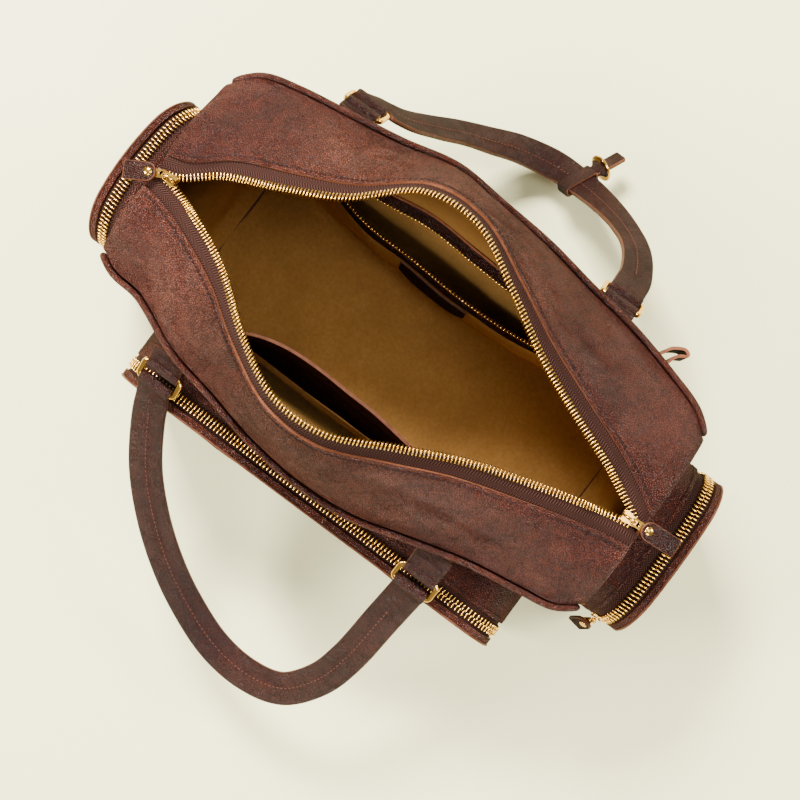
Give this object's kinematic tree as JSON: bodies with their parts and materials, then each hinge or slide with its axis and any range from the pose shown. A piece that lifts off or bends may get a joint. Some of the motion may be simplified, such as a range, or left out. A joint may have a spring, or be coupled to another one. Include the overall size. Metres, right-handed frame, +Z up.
{
  "type": "boston bag",
  "caption": "Leather boston bag standing open: zipped mouth, end and front zip pockets, two strap handles on rings, lined inside with slip and zip pockets.",
  "frame": {"origin": "centre of the base, on the surface the bag rests on", "axes": "+X to the right end, +Y to the back with the folded loop, +Z up; the front zip pocket faces -Y"},
  "size_m": [0.4219, 0.4424, 0.2232],
  "materials": {
    "leather": "satin pebbled brown leather",
    "piping": "satin brown leather cord",
    "tape": "woven herringbone tape",
    "lining": "twill",
    "brass": "polished"
  },
  "bodies": {
    "root": {"back_panel": "leather", "front_panel": "leather", "gusset": "leather", "back_piping": "piping", "front_piping": "piping", "top_strip_back": "leather", "top_strip_front": "leather", "lining": "lining", "zip_tape_back": "tape", "zip_tape_front": "tape", "zip_teeth_back": "brass", "zip_teeth_front": "brass", "slider_left": "brass", "pull_link_left": "brass", "pull_tab_left": "leather", "slider_right": "brass", "pull_link_right": "brass", "pull_tab_right": "leather", "left_pocket_rim": "leather", "left_pocket_tape": "tape", "left_pocket_chain": "brass", "left_pocket_face": "leather", "left_pocket_slider": "brass", "left_pocket_pull_link": "brass", "left_pocket_pull_tab": "leather", "right_pocket_rim": "leather", "right_pocket_tape": "tape", "right_pocket_chain": "brass", "right_pocket_face": "leather", "right_pocket_slider": "brass", "right_pocket_pull_link": "brass", "right_pocket_pull_tab": "leather", "front_pocket_rim": "leather", "front_pocket_tape": "tape", "front_pocket_chain": "brass", "front_pocket_face": "leather", "front_pocket_slider": "brass", "front_pocket_pull_link": "brass", "front_pocket_pull_tab": "leather", "handle_back": "leather", "handle_front": "leather", "ring_back_left": "brass", "ring_tab_back_left": "leather", "ring_back_right": "brass", "ring_tab_back_right": "leather", "ring_front_left": "brass", "ring_tab_front_left": "leather", "ring_front_right": "brass", "ring_tab_front_right": "leather", "keeper": "leather", "keeper_snap": "brass", "back_loop": "leather", "slip_pocket_band": "leather", "slip_pocket_panel": "lining", "inner_pocket_panel": "lining", "inner_pocket_trim": "leather", "inner_teeth_free": "brass", "inner_pocket_strip": "leather", "inner_teeth_wall": "brass", "inner_patch": "leather"}
  },
  "joints": []
}
